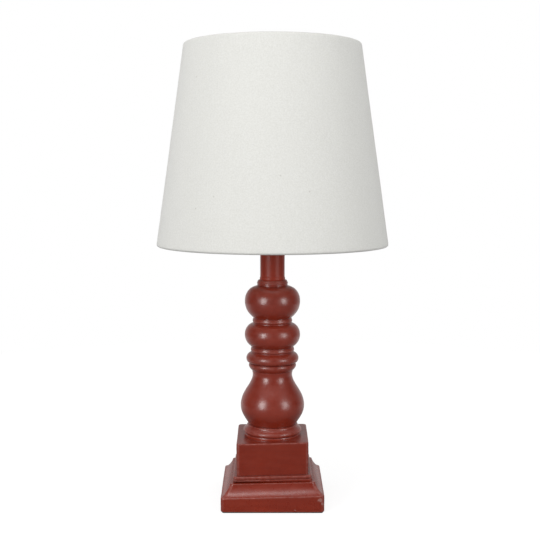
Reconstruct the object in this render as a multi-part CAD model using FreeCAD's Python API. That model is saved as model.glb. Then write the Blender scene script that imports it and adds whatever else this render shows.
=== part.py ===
import FreeCAD, Part
import math
import os

# A candlestick table lamp: a square moulded foot, a turned column, a lamp holder with its bulb,
# and a tapered fabric shade carried on a harp. Millimetres, Z up, origin under the middle of the foot.

# ---- square foot
felt_thickness = 1.2
felt_inset = 1.5
slab_width = 111.6
slab_face_height = 17.8
slab_corner_r = 2.5
slab_arris_r = 1.0
cove_width_bottom = 108.8
cove_width_middle = 99.0
cove_width_top = 92.4
cove_height = 11.0
cove_middle_height = 4.9
cove_sections = 5
cove_band_height = 1.0
moulding_corner_r = 2.0
recess_r = 38.0
recess_depth = 15.8

# ---- plinth block
plinth_width = 78.4
plinth_height = 42.0
plinth_arris_r = 1.5
plinth_band_width = 86.2
plinth_band_height = 2.9
plinth_bead_width = 85.4
plinth_bead_height = 3.0
plinth_bead_r = 1.4
band_groove = 0.5
band_arris_r = 0.5

# ---- turned column, from its foot up; each shape lists (rise, radius) points
foot_disc_r = 31.4
foot_disc_height = 2.0
foot_groove_r = 30.4
foot_rim_r = 32.5
foot_rim_height = 4.4
foot_step_r = 30.9
foot_disc_round = 0.5
foot_cove_middle = (28.4, 1.1)
foot_cove_top_r = 27.0
foot_cove_height = 3.5
foot_bead_r = 27.4
foot_bead_height = 1.6
vase_shape = [(0, 26.2), (6.9, 30.8), (13.8, 34.3), (20.6, 35.5), (29.7, 33.9), (37.7, 30.0), (44.6, 25.7),
              (51.4, 22.6), (55.4, 21.9), (59.2, 22.5)]
collar_shape = [(0, 22.7), (3.9, 25.0), (7.0, 26.3), (8.9, 25.5)]
torus_shape = [(0, 24.9), (2.3, 28.0), (5.4, 29.0), (9.3, 27.9), (11.9, 23.9)]
ring_b_r = 24.1
ball_b_shape = [(0, 23.3), (4.4, 27.8), (13.4, 30.7), (20.1, 29.1), (24.6, 25.0), (26.0, 21.6)]
ring_a_r = 22.0
ball_a_shape = [(0, 21.3), (6.6, 27.3), (18.8, 30.6), (27.8, 28.2), (32.3, 24.1), (35.3, 17.1)]
ring_height = 4.6
ring_fillet_height = 1.4
ring_fillet_inset = 0.2
ring_groove = 0.9
bead_r = 17.1
bead_height = 6.5
bead_round = 0.6
bead_lip_height = 1.8
bead_lip_inset = 0.2
bead_side_height = 2.6

# ---- neck tube above the column
neck_r = 13.5
neck_wall = 1.5
neck_length = 51.0
neck_foot_r = 14.0
neck_foot_height = 3.6
neck_foot_ease = 0.2
neck_cap_r = 15.4
neck_cap_plate = 1.5
neck_cap_skirt = 3.0
thread_gap = 0.05
bore_gap = 0.6
seat_gap = 0.1
slip_gap = 0.25

# ---- threaded lamp pipe and the hardware on it
pipe_r = 4.9
pipe_bore_r = 3.3
pipe_chamfer = 0.6
pipe_tail = 3.0
pipe_top_engagement = 5.0
lock_washer_slit_deg = 60.0
washer_r = 17.0
washer_thickness = 1.6
lock_washer_r = 8.6
lock_washer_thickness = 1.6
lock_washer_slit = 1.6
nut_across_flats = 15.9
nut_height = 4.2
check_nut_height = 3.0
nut_chamfer_drop = 0.8

# ---- cord bushing in the back of the foot
bushing_bore_r = 4.0
bushing_r = 5.5
bushing_flange_r = 7.4
bushing_flange = 1.6
bushing_height = 10.4
bushing_tail = 1.0

# ---- harp saddle
saddle_thickness = 1.5
saddle_width = 12.0
saddle_flat = 32.0
saddle_rise = 16.0
saddle_shelf = 9.2
tongue_height = 14.0
tongue_thickness = 1.2
tongue_width = 2.8

# ---- lamp holder (medium screw)
hub_r = 7.2
hub_height = 6.0
cup_r = 17.5
cup_wall = 0.7
cup_height = 20.0
cup_shoulder_height = 13.0
cup_bulge = 2.0
cup_bulge_share = 0.45
set_screw_r = 1.5
set_screw_length = 5.0
set_screw_slot = 0.6
set_screw_slot_depth = 1.0
shell_r = 16.7
shell_wall = 0.5
shell_overlap = 6.0
holder_height = 57.0
liner_wall = 0.4
core_drop = 4.0
core_r = 15.2
core_waist_r = 12.6
core_waist_height = 8.0
core_height = 22.0
screw_shell_r = 13.9
screw_shell_wall = 0.5
screw_shell_height = 17.0
screw_shell_seat_r = 9.0
contact_r = 4.4
contact_plate = 0.6
contact_crown_r = 2.2
contact_crown = 0.7
terminal_head_r = 2.8
terminal_head = 1.8
terminal_shank_r = 1.5
terminal_shank = 4.0
terminal_slot = 0.8
switch_height = 15.0
spindle_r = 1.6
spindle_reach = 33.0
spindle_root = 3.0
spindle_run = 0.05
spindle_hole_r = 3.0
knob_r = 6.0
knob_length = 13.0
knob_engagement = 9.0
knob_flutes = 10
knob_flute_r = 1.1
knob_dome = 1.5

# ---- bulb (A19, E26)
bulb_length = 105.0
bulb_r = 30.0
bulb_wall = 0.9
cap_r = 13.1
cap_height = 20.5
cap_ridge = 0.35
cap_pitch = 3.629
cap_rim = 1.0
cap_lead = 0.7
insulator_height = 3.4
insulator_small_r = 5.4
insulator_large_r = 11.4
tip_r = 4.7
tip_height = 1.0
tip_gap = 0.3
glass_shape = [(0.0, 13.4), (11.0, 14.8), (24.0, 21.6), (35.0, 27.6)]

# ---- harp
harp_wire_r = 2.0
harp_half_spread = 30.0
harp_height = 157.7
harp_straight = 40.0
harp_flare_r = 30.0
harp_flare_deg = 40.0
harp_lean_deg = 20.0
harp_shoulder_r = 40.0
harp_boss_length = 16.0
harp_boss_width = 10.0
leg_split_gap = 0.15
sleeve_r = 3.6
sleeve_length = 17.0
sleeve_flare_r = 4.2
sleeve_flare = 1.5
sleeve_run = 0.1
stud_shank_r = 2.25
stud_run = 0.05
stud_rivet_r = 3.6
stud_rivet = 1.1
stud_flange_r = 8.0
stud_flange = 1.7
stud_thread_r = 3.175
stud_thread_height = 10.0
turn_gap = 0.3

# ---- shade
shade_bottom_r = 127.0
shade_top_r = 95.8
shade_height = 217.6
spider_drop = 18.0
fabric = 0.5
styrene = 0.6
ring_wire_r = 1.5
hem_wrap_deg = 200.0
hem_gap = 0.35
spider_arms = 3
spider_wire_r = 1.5
spider_bend_at = 80.0
spider_bend_r = 12.0
spider_washer_r = 12.0
spider_washer = 2.0
slit_gap = 0.3

# ---- finial
finial_base_r = 8.0
finial_base = 2.0
finial_neck_r = 5.4
finial_neck = 2.3
finial_neck_cove = 0.6
finial_ball_r = 8.8
finial_button_r = 2.6
finial_button = 1.6
finial_bore_clearance = 1.5

# ---- levels worked out from the sizes above
slab_z = felt_thickness
cove_z = slab_z + slab_face_height
slab_top = cove_z + cove_height + cove_band_height
recess_top = slab_z + recess_depth
plinth_top = slab_top + plinth_height
foot_rim_z = plinth_top + foot_disc_height + band_groove
foot_cove_z = foot_rim_z + foot_rim_height
foot_bead_z = foot_cove_z + foot_cove_height
vase_z = foot_bead_z + foot_bead_height
collar_z = vase_z + vase_shape[-1][0]
torus_z = collar_z + collar_shape[-1][0] + band_groove
ring_b_z = torus_z + torus_shape[-1][0]
ring_stack = ring_fillet_height + ring_height + band_groove
ball_b_z = ring_b_z + ring_stack
ring_a_z = ball_b_z + ball_b_shape[-1][0]
ball_a_z = ring_a_z + ring_stack
bead_z = ball_a_z + ball_a_shape[-1][0]
column_top = bead_z + bead_height
neck_top = column_top + neck_length
check_nut_z = neck_top + neck_cap_plate
saddle_z = check_nut_z + check_nut_height
holder_z = saddle_z + saddle_thickness
holder_top = holder_z + holder_height
core_z = holder_z + cup_height - core_drop
core_top = core_z + core_height
shelf_top = holder_z + saddle_rise
bulb_z = core_top + contact_plate + contact_crown + tip_gap
cap_z = bulb_z + tip_height + insulator_height
cap_top = cap_z + cap_height
harp_top = shelf_top + harp_height
stud_seat = harp_top + 2 * harp_wire_r + turn_gap
spider_z = stud_seat + stud_flange + seat_gap
shade_top = spider_z + spider_washer / 2 + spider_drop
shade_z = shade_top - shade_height
finial_z = spider_z + spider_washer + seat_gap
passage_r = pipe_r + bore_gap
nut_z = recess_top - washer_thickness - lock_washer_thickness - nut_height
pipe_z = nut_z - pipe_tail
pipe_top = holder_z + pipe_top_engagement

up = FreeCAD.Vector(0, 0, 1)
centre = FreeCAD.Vector(0, 0, 0)


# ---- small makers
def vec(x, y, z):
    return FreeCAD.Vector(x, y, z)


def flat(point):
    return vec(point[0], 0, point[1])


def outline(start, *steps):
    """Closed outline in the XZ plane. A step is (x, z) for a line, ((x, z), (x, z)) for an arc through
    the first point, or a list of three or more points for a smooth curve."""
    edges = []
    here = flat(start)
    for step in steps + (start,):
        if isinstance(step, list):
            points = [here] + [flat(p) for p in step]
            curve = Part.BSplineCurve()
            curve.interpolate(points)
            edges.append(curve.toShape())
            here = points[-1]
        elif isinstance(step[0], tuple):
            edges.append(Part.Arc(here, flat(step[0]), flat(step[1])).toShape())
            here = flat(step[1])
        else:
            there = flat(step)
            if here.distanceToPoint(there) > 1e-6:
                edges.append(Part.LineSegment(here, there).toShape())
                here = there
    return Part.Wire(edges)


def turned(start, *steps):
    return Part.Face(outline(start, *steps)).revolve(centre, up, 360)


def disc(r, z, height):
    return Part.makeCylinder(r, height, vec(0, 0, z))


def tube(r, r_in, z, height):
    return disc(r, z, height).cut(disc(r_in, z, height))


def rounded_square(width, corner, z):
    half = width / 2
    run = half - corner
    mid = run + corner / math.sqrt(2)
    edges = []
    for turn in range(4):
        spin = FreeCAD.Rotation(up, 90 * turn)
        side = [spin.multVec(vec(half, y, z)) for y in (-run, run)]
        arc = [spin.multVec(vec(*p, z)) for p in ((mid, mid), (run, half))]
        edges.append(Part.LineSegment(*side).toShape())
        edges.append(Part.Arc(side[1], arc[0], arc[1]).toShape())
    return Part.Wire(edges)


def block(width, corner, z, height):
    return Part.Face(rounded_square(width, corner, z)).extrude(vec(0, 0, height))


def soften_top(solid, z, radius):
    """Rounds every edge that lies in the level plane at z."""
    level = [e for e in solid.Edges if abs(e.BoundBox.ZMin - z) < 1e-4 and abs(e.BoundBox.ZMax - z) < 1e-4]
    return solid.makeFillet(radius, level)


def hexagon_nut(across, bore, z, height):
    corner = across / math.sqrt(3)
    points = [vec(corner * math.cos(math.pi / 3 * k), corner * math.sin(math.pi / 3 * k), z) for k in range(7)]
    prism = Part.Face(Part.makePolygon(points)).extrude(vec(0, 0, height))
    drop = nut_chamfer_drop
    cone = Part.makeCone(corner + height - drop, corner - drop, height, vec(0, 0, z))
    return prism.common(cone).cut(disc(bore, z, height))


def rod(path, radius):
    """A round bar along a wire of straight runs and tangent arcs."""
    first = path.Edges[0]
    start = first.valueAt(first.FirstParameter)
    heading = first.tangentAt(first.FirstParameter)
    section = Part.Wire(Part.Circle(start, heading, radius).toShape())
    shell = Part.BRepOffsetAPI.MakePipeShell(path)
    shell.add(section)
    shell.build()
    shell.makeSolid()
    return shell.shape()


def strip(points, thickness, width):
    """A flat bar bent along points in the XZ plane, thickness to the left of the way, width across Y."""
    offsets = []
    for k, point in enumerate(points):
        ways = []
        if k > 0:
            ways.append((flat(point) - flat(points[k - 1])).normalize())
        if k < len(points) - 1:
            ways.append((flat(points[k + 1]) - flat(point)).normalize())
        normals = [vec(-w.z, 0, w.x) for w in ways]
        mean = (normals[0] + normals[-1]).normalize()
        offsets.append(flat(point) + mean * (thickness / mean.dot(normals[0])))
    loop = [flat(p) for p in points] + offsets[::-1] + [flat(points[0])]
    face = Part.Face(Part.makePolygon(loop))
    face.translate(vec(0, -width / 2, 0))
    return face.extrude(vec(0, width, 0))


def dome(radius, z, height):
    """Arc step over a spherical cap, from its rim at (radius, z) to its top on the axis."""
    sphere = (radius ** 2 + height ** 2) / (2 * height)
    half = math.asin(radius / sphere) / 2
    middle = z + height - sphere * (1 - math.cos(half))
    return ((sphere * math.sin(half), middle), (0, z + height))


def lifted(shape, z):
    return [(radius, z + rise) for rise, radius in shape]


def save(name, shape):
    solid = shape.removeSplitter() if len(shape.Solids) == 1 else shape
    print(f"{name:24s} solids {len(solid.Solids)}  volume {solid.Volume:12.1f}  valid {solid.isValid()}")
    solid.exportStep(f"parts/{name}.step")


# ---- foot
def felt_pad():
    return block(slab_width - 2 * felt_inset, slab_corner_r, 0, felt_thickness)


def cord_hole(radius):
    length = slab_width
    return Part.makeCylinder(radius, length, vec(0, 0, bushing_height), vec(0, 1, 0))


def base_slab():
    face = soften_top(block(slab_width, slab_corner_r, slab_z, slab_face_height), cove_z, slab_arris_r)
    levels = [(cove_width_bottom, 0), (cove_width_middle, cove_middle_height), (cove_width_top, cove_height)]
    curve = Part.Arc(*[vec(width / 2, 0, cove_z + rise) for width, rise in levels])
    sections = []
    turn = (curve.LastParameter - curve.FirstParameter) / (cove_sections - 1)
    for k in range(cove_sections):
        at = curve.value(curve.FirstParameter + turn * k)
        sections.append(rounded_square(2 * at.x, moulding_corner_r, at.z))
    cove = Part.makeLoft(sections, True)
    band = block(cove_width_top, moulding_corner_r, slab_top - cove_band_height, cove_band_height)
    band = soften_top(band, slab_top, band_arris_r)
    slab = face.fuse([cove, band])
    recess = disc(recess_r, slab_z, recess_depth)
    passage = disc(passage_r, slab_z, slab_top)
    return slab.cut([recess, passage, cord_hole(bushing_r)])


def plinth_block():
    band = block(plinth_band_width, moulding_corner_r, slab_top, plinth_band_height)
    band = soften_top(band, slab_top + plinth_band_height, band_arris_r)
    bead_base = slab_top + plinth_band_height + band_groove
    bead = block(plinth_bead_width, moulding_corner_r + band_groove, bead_base, plinth_bead_height)
    bead = soften_top(bead, bead_base + plinth_bead_height, plinth_bead_r)
    neck_width = plinth_bead_width - 2 * band_groove
    groove = block(neck_width, moulding_corner_r, slab_top, plinth_band_height + 2 * band_groove)
    core = block(plinth_width, moulding_corner_r, slab_top, plinth_height)
    core = soften_top(core, plinth_top, plinth_arris_r)
    return core.fuse([groove, band, bead]).cut(disc(passage_r, slab_top, plinth_height))


# ---- column
def ring_steps(z, radius, next_radius):
    """A thin fillet, a groove and a half-round ring, stacked from z up."""
    inner = radius - ring_groove
    ring = z + ring_fillet_height + band_groove
    fillet = radius - ring_fillet_inset
    crest = (radius, ring + ring_height / 2)
    return [
        (fillet, z),
        (fillet, z + ring_fillet_height),
        (inner, z + ring_fillet_height),
        (inner, ring),
        (crest, (inner, ring + ring_height)),
        (next_radius, ring + ring_height),
    ]


def turned_column():
    disc_top = plinth_top + foot_disc_height
    lip = (bead_r - bead_lip_inset, bead_r - bead_round)
    lip_top = bead_z + bead_lip_height
    side_top = lip_top + bead_side_height
    steps = [
        (foot_disc_r, plinth_top),
        ((foot_disc_r + foot_disc_round / 2, plinth_top + foot_disc_height / 2),
         (foot_disc_r - foot_disc_round, disc_top)),
        (foot_groove_r, disc_top),
        (foot_groove_r, foot_rim_z),
        ((foot_rim_r, foot_rim_z + foot_rim_height / 2), (foot_step_r, foot_cove_z)),
        ((foot_cove_middle[0], foot_cove_z + foot_cove_middle[1]), (foot_cove_top_r, foot_bead_z)),
        ((foot_bead_r, foot_bead_z + foot_bead_height / 2), (vase_shape[0][1], vase_z)),
        lifted(vase_shape[1:], vase_z),
        (collar_shape[0][1], collar_z),
        lifted(collar_shape[1:], collar_z),
        (torus_shape[0][1] - band_groove, torus_z - band_groove),
        (torus_shape[0][1], torus_z),
        lifted(torus_shape[1:], torus_z),
    ]
    steps += ring_steps(ring_b_z, ring_b_r, ball_b_shape[0][1])
    steps += [lifted(ball_b_shape[1:], ball_b_z)]
    steps += ring_steps(ring_a_z, ring_a_r, ball_a_shape[0][1])
    steps += [
        lifted(ball_a_shape[1:], ball_a_z),
        (lip[1], bead_z),
        ((lip[0], bead_z + bead_lip_height / 2), (lip[1], lip_top)),
        ((bead_r, lip_top + bead_side_height / 2), (bead_r - bead_round, side_top)),
        ((bead_r - 2 * bead_round, column_top - bead_round), (neck_foot_r + bead_round, column_top)),
        (passage_r, column_top),
    ]
    return turned((passage_r, plinth_top), *steps)


def neck_tube():
    inner = neck_r - neck_wall
    foot_top = column_top + neck_foot_height
    return turned(
        (inner, column_top),
        (neck_foot_r - neck_foot_ease, column_top),
        ((neck_foot_r, column_top + neck_foot_height / 2), (neck_r, foot_top)),
        (neck_r, neck_top),
        (inner, neck_top),
    )


def neck_cap():
    skirt_in = neck_r + slip_gap
    skirt_z = neck_top - neck_cap_skirt
    top = neck_top + neck_cap_plate
    return turned(
        (pipe_r + thread_gap, neck_top),
        (skirt_in, neck_top),
        (skirt_in, skirt_z),
        (neck_cap_r, skirt_z),
        (neck_cap_r, top - neck_cap_plate / 2),
        (neck_cap_r - neck_cap_plate / 2, top),
        (pipe_r + thread_gap, top),
    )


# ---- pipe and its hardware
def lamp_pipe():
    c = pipe_chamfer
    return turned(
        (pipe_bore_r, pipe_z),
        (pipe_r - c, pipe_z),
        (pipe_r, pipe_z + c),
        (pipe_r, pipe_top - c),
        (pipe_r - c, pipe_top),
        (pipe_bore_r, pipe_top),
    )


def pipe_washer():
    return tube(washer_r, pipe_r + slip_gap, recess_top - washer_thickness, washer_thickness)


def lock_washer():
    z = recess_top - washer_thickness - lock_washer_thickness
    corner = vec(0, -lock_washer_slit / 2, z)
    slit = Part.makeBox(lock_washer_r, lock_washer_slit, lock_washer_thickness, corner)
    slit.rotate(centre, up, lock_washer_slit_deg)
    return tube(lock_washer_r, pipe_r + slip_gap, z, lock_washer_thickness).cut(slit)


def pipe_nut():
    return hexagon_nut(nut_across_flats, pipe_r + thread_gap, nut_z, nut_height)


def check_nut():
    return hexagon_nut(nut_across_flats, pipe_r + thread_gap, check_nut_z, check_nut_height)


def cord_bushing():
    back = slab_width / 2
    root = math.sqrt(recess_r ** 2 - bushing_r ** 2) - bushing_tail
    body = Part.makeCylinder(bushing_r, back - root, vec(0, root, bushing_height), vec(0, 1, 0))
    flange = Part.makeCylinder(bushing_flange_r, bushing_flange, vec(0, back, bushing_height), vec(0, 1, 0))
    rim = [e for e in flange.Edges if abs(e.BoundBox.YMin - back - bushing_flange) < 1e-4]
    flange = flange.makeFillet(bushing_flange / 2, rim)
    return body.fuse(flange).cut(cord_hole(bushing_bore_r))


# ---- harp saddle and harp
def harp_saddle():
    slope_end = harp_half_spread - saddle_shelf / 2
    shelf_end = harp_half_spread + saddle_shelf / 2
    low = shelf_top - saddle_thickness
    right = [(saddle_flat / 2, saddle_z), (slope_end, low), (shelf_end, low)]
    left = [(-x, z) for x, z in right[::-1]]
    saddle = strip(left + right, saddle_thickness, saddle_width)
    tongues = []
    for side in (-1, 1):
        face_x = harp_half_spread - leg_split_gap / 2
        x = face_x - tongue_thickness if side > 0 else -face_x
        tongues.append(Part.makeBox(tongue_thickness, tongue_width, tongue_height,
                                    vec(x, -tongue_width / 2, shelf_top)))
    hole = disc(pipe_r + slip_gap, saddle_z, saddle_thickness)
    return saddle.fuse(tongues).cut(hole)


def harp_path():
    """Right half of the harp's centre line: straight leg, outward flare, bowed side, shoulder, flat top."""
    flare = math.radians(harp_flare_deg)
    lean = math.radians(harp_lean_deg)
    top = harp_top + harp_wire_r
    foot = vec(harp_half_spread, 0, shelf_top + seat_gap)
    knee = vec(harp_half_spread, 0, shelf_top + harp_straight)
    flare_c = knee + vec(harp_flare_r, 0, 0)

    def on(c, r, angle):
        return c + vec(r * math.cos(angle), 0, r * math.sin(angle))

    flared = on(flare_c, harp_flare_r, math.pi - flare)
    shoulder_rise = harp_shoulder_r * (1 - math.sin(lean))
    side_r = (top - flared.z - shoulder_rise) / (math.sin(flare) + math.sin(lean))
    side_c = on(flared, side_r, math.pi - flare)
    leaned = on(side_c, side_r, lean)
    shoulder_c = on(leaned, harp_shoulder_r, lean + math.pi)
    crown = on(shoulder_c, harp_shoulder_r, math.pi / 2)
    middle = vec(0, 0, top)
    return [
        Part.LineSegment(foot, knee).toShape(),
        Part.Arc(knee, on(flare_c, harp_flare_r, math.pi - flare / 2), flared).toShape(),
        Part.Arc(flared, on(side_c, side_r, (lean - flare) / 2), leaned).toShape(),
        Part.Arc(leaned, on(shoulder_c, harp_shoulder_r, (lean + math.pi / 2) / 2), crown).toShape(),
        Part.LineSegment(crown, middle).toShape(),
    ]


def harp_wire():
    half = rod(Part.Wire(harp_path()), harp_wire_r)
    other = half.mirror(centre, vec(1, 0, 0))
    boss = Part.makeBox(harp_boss_length, harp_boss_width, 2 * harp_wire_r,
                        vec(-harp_boss_length / 2, -harp_boss_width / 2, harp_top))
    upright = [e for e in boss.Edges if e.BoundBox.ZLength > harp_wire_r]
    boss = boss.makeFillet(harp_boss_width / 3, upright)
    wire = half.fuse([other, boss]).cut(disc(stud_shank_r + stud_run, harp_top, 2 * harp_wire_r))
    notch_height = tongue_height + 2 * seat_gap
    depth = 2 * harp_wire_r
    cuts = []
    for side in (-1, 1):
        face_x = side * (harp_half_spread + leg_split_gap / 2)
        x = face_x - depth if side > 0 else face_x
        cuts.append(Part.makeBox(depth, 2 * depth, notch_height, vec(x, -depth, shelf_top)))
    return wire.cut(cuts)


def harp_sleeve(side):
    z = shelf_top + seat_gap
    inner = harp_wire_r + sleeve_run
    sleeve = turned(
        (inner, z),
        (sleeve_flare_r, z),
        (sleeve_r, z + sleeve_flare),
        (sleeve_r, z + sleeve_length - sleeve_flare / 2),
        (sleeve_r - sleeve_flare / 2, z + sleeve_length),
        (inner, z + sleeve_length),
    )
    sleeve.translate(vec(side * harp_half_spread, 0, 0))
    return sleeve


def harp_stud():
    rivet_top = harp_top - turn_gap
    rivet_z = rivet_top - stud_rivet
    flange_top = stud_seat + stud_flange
    top = flange_top + stud_thread_height
    return turned(
        (0, rivet_z),
        (stud_rivet_r - stud_rivet / 2, rivet_z),
        (stud_rivet_r, rivet_z + stud_rivet / 2),
        (stud_rivet_r, rivet_top),
        (stud_shank_r, rivet_top),
        (stud_shank_r, stud_seat),
        (stud_flange_r, stud_seat),
        (stud_flange_r, flange_top),
        (stud_thread_r, flange_top),
        (stud_thread_r, top - pipe_chamfer),
        (stud_thread_r - pipe_chamfer, top),
        (0, top),
    )


# ---- lamp holder
def set_screw_hole(radius):
    z = holder_z + hub_height / 2
    return Part.makeCylinder(radius, hub_r, vec(0, pipe_r, z), vec(0, 1, 0))


def socket_cap():
    inner = pipe_r + thread_gap
    hub_top = holder_z + hub_height
    shoulder = holder_z + cup_shoulder_height
    rim = holder_z + cup_height
    w = cup_wall
    out_mid = (cup_r - cup_bulge, hub_top + (shoulder - hub_top) * cup_bulge_share)
    in_mid = (out_mid[0] - w, out_mid[1] + w)
    cup = turned(
        (inner, holder_z),
        (hub_r, holder_z),
        (hub_r, hub_top - w),
        (out_mid, (cup_r, shoulder)),
        (cup_r, rim),
        (cup_r - w, rim),
        (cup_r - w, shoulder),
        (in_mid, (hub_r - w, hub_top)),
        (inner, hub_top),
    )
    return cup.cut(set_screw_hole(set_screw_r + thread_gap))


def cap_screw():
    z = holder_z + hub_height / 2
    start = pipe_r + thread_gap
    screw = Part.makeCylinder(set_screw_r, set_screw_length, vec(0, start, z), vec(0, 1, 0))
    slot = Part.makeBox(2 * set_screw_r, set_screw_slot_depth, set_screw_slot)
    slot.translate(vec(-set_screw_r, start + set_screw_length - set_screw_slot_depth, z - set_screw_slot / 2))
    return screw.cut(slot)


def spindle_way(radius):
    z = core_z + switch_height
    return Part.makeCylinder(radius, 2 * cup_r, vec(0, -spindle_root, z), vec(0, -1, 0))


def socket_shell():
    z = holder_z + cup_height - shell_overlap
    lip = 2 * shell_wall
    inner = shell_r - shell_wall
    shell = turned(
        (inner, z),
        (shell_r, z),
        (shell_r, holder_top - lip),
        (shell_r + shell_wall, holder_top - lip / 2),
        (shell_r, holder_top),
        (inner, holder_top),
    )
    return shell.cut(spindle_way(spindle_hole_r))


def shell_liner():
    outer = shell_r - shell_wall - seat_gap
    z = holder_z + cup_height - shell_overlap
    height = holder_top - z - seat_gap
    return tube(outer, outer - liner_wall, z, height).cut(spindle_way(spindle_hole_r))


def terminal_place(side):
    return vec(side * core_waist_r, 0, core_z + core_waist_height / 2)


def socket_core():
    waist = disc(core_waist_r, core_z, core_waist_height)
    body = disc(core_r, core_z + core_waist_height, core_height - core_waist_height)
    core = waist.fuse(body)
    for side in (-1, 1):
        place = terminal_place(side)
        core = core.cut(Part.makeCylinder(terminal_shank_r, terminal_shank, place, vec(-side, 0, 0)))
    return core.cut(spindle_way(spindle_r + spindle_run))


def terminal_screw(side):
    place = terminal_place(side)
    shank = Part.makeCylinder(terminal_shank_r, terminal_shank, place, vec(-side, 0, 0))
    head = Part.makeCylinder(terminal_head_r, terminal_head, place, vec(side, 0, 0))
    slot = Part.makeBox(terminal_head / 2, 2 * terminal_head_r, terminal_slot)
    x = side * (core_waist_r + terminal_head) - (terminal_head / 2 if side > 0 else 0)
    slot.translate(vec(x, -terminal_head_r, place.z - terminal_slot / 2))
    return shank.fuse(head).cut(slot)


def screw_shell():
    inner = screw_shell_r - screw_shell_wall
    top = core_top + screw_shell_height
    return turned(
        (screw_shell_seat_r, core_top),
        (screw_shell_r, core_top),
        (screw_shell_r, top),
        (inner, top),
        (inner, core_top + screw_shell_wall),
        (screw_shell_seat_r, core_top + screw_shell_wall),
    )


def centre_contact():
    return disc(contact_r, core_top, contact_plate).fuse(
        disc(contact_crown_r, core_top + contact_plate, contact_crown))


def switch_spindle():
    z = core_z + switch_height
    start = vec(0, -spindle_root - spindle_run, z)
    length = spindle_reach - spindle_root - spindle_run
    return Part.makeCylinder(spindle_r, length, start, vec(0, -1, 0))


def switch_knob():
    z = core_z + switch_height
    start = -(spindle_reach - knob_engagement)
    body = Part.makeCylinder(knob_r, knob_length, vec(0, start, z), vec(0, -1, 0))
    rim = [e for e in body.Edges if abs(e.BoundBox.YMax - start + knob_length) < 1e-4]
    body = body.makeFillet(knob_dome, rim)
    flutes = []
    for k in range(knob_flutes):
        angle = 2 * math.pi * k / knob_flutes
        at = vec(knob_r * math.cos(angle), start - knob_dome, z + knob_r * math.sin(angle))
        flutes.append(Part.makeCylinder(knob_flute_r, knob_length, at, vec(0, -1, 0)))
    hole = Part.makeCylinder(spindle_r, knob_engagement, vec(0, start, z), vec(0, -1, 0))
    return body.cut(flutes + [hole])


# ---- bulb
def bulb_tip():
    crown = tip_height / 2
    return turned((0, bulb_z), (tip_r - crown, bulb_z), (tip_r, bulb_z + crown), (tip_r, bulb_z + tip_height),
                  (0, bulb_z + tip_height))


def bulb_insulator():
    z = bulb_z + tip_height
    return turned((0, z), (insulator_small_r, z), (insulator_large_r, cap_z), (0, cap_z))


def bulb_cap():
    inner = cap_r - bulb_wall
    steps = [(insulator_large_r, cap_z), (cap_r - cap_ridge, cap_z + cap_ridge)]
    turns = int((cap_height - cap_pitch) / cap_pitch)
    for k in range(turns):
        z = cap_z + cap_lead + cap_pitch * k
        steps.append(((cap_r, z + cap_pitch / 2), (cap_r - cap_ridge, z + cap_pitch)))
    floor = cap_z + bulb_wall
    steps += [(cap_r, cap_top - cap_rim), (cap_r, cap_top), (inner, cap_top)]
    steps += [(inner, floor), (insulator_small_r, floor)]
    return turned((insulator_small_r, cap_z), *steps)


def bulb_glass():
    dome_z = bulb_z + bulb_length - bulb_r
    outer = lifted(glass_shape, cap_top) + [(bulb_r, dome_z)]
    inner = [(radius - bulb_wall, z) for radius, z in outer][::-1]
    crown = dome(inner[0][0], dome_z, inner[0][0])
    return turned(
        outer[0],
        outer[1:],
        dome(bulb_r, dome_z, bulb_r),
        crown[1],
        (crown[0], inner[0]),
        inner[1:],
    )


# ---- shade
def shade_point(depth, along, from_top=False):
    """A point depth mm inside the shade's outer face and along mm up its slope from the bottom edge,
    or down it from the top edge."""
    lean = math.atan2(shade_bottom_r - shade_top_r, shade_height)
    side = -1 if from_top else 1
    r0, z0 = (shade_top_r, shade_top) if from_top else (shade_bottom_r, shade_z)
    return (r0 - side * along * math.sin(lean) - depth * math.cos(lean),
            z0 + side * along * math.cos(lean) - depth * math.sin(lean))


def hem(from_top):
    """Outline points of the fabric where it rolls round a rim ring and back on to the stiff lining."""
    hem_r = ring_wire_r + hem_gap
    depth = fabric + hem_r
    along = fabric + hem_r
    wrap = math.radians(hem_wrap_deg)
    rest = fabric + styrene

    def around(r, angle):
        return shade_point(depth - r * math.cos(angle), along - r * math.sin(angle), from_top)

    def landing(r):
        slope = wrap - math.pi
        run = (depth + r * math.cos(slope) - rest) / math.sin(slope)
        return shade_point(rest, along + r * math.sin(slope) + run * math.cos(slope), from_top)

    r_out = hem_r + fabric
    outer = (around(r_out, wrap / 2), around(r_out, wrap), around(r_out, 0), landing(r_out))
    inner = (around(hem_r, wrap / 2), around(hem_r, wrap), around(hem_r, 0), landing(hem_r))
    return outer, inner


def shade_cover():
    low_out, low_in = hem(False)
    top_out, top_in = hem(True)
    cover = turned(
        low_out[2],
        top_out[2],
        (top_out[0], top_out[1]),
        top_out[3],
        top_in[3],
        top_in[1],
        (top_in[0], top_in[2]),
        low_in[2],
        (low_in[0], low_in[1]),
        low_in[3],
        low_out[3],
        low_out[1],
        (low_out[0], low_out[2]),
    )
    return cover.cut(spider_frame(spider_wire_r + slit_gap))


def shade_liner():
    along = fabric + 2 * (ring_wire_r + hem_gap)
    liner = turned(
        shade_point(fabric, along),
        shade_point(fabric, along, True),
        shade_point(fabric + styrene, along, True),
        shade_point(fabric + styrene, along),
    )
    return liner.cut(spider_frame(spider_wire_r + slit_gap))


def rim_centre(from_top):
    inset = fabric + hem_gap + ring_wire_r
    return shade_point(inset, inset, from_top)


def rim_ring(from_top):
    r, z = rim_centre(from_top)
    return Part.makeTorus(r, ring_wire_r, vec(0, 0, z))


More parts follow.
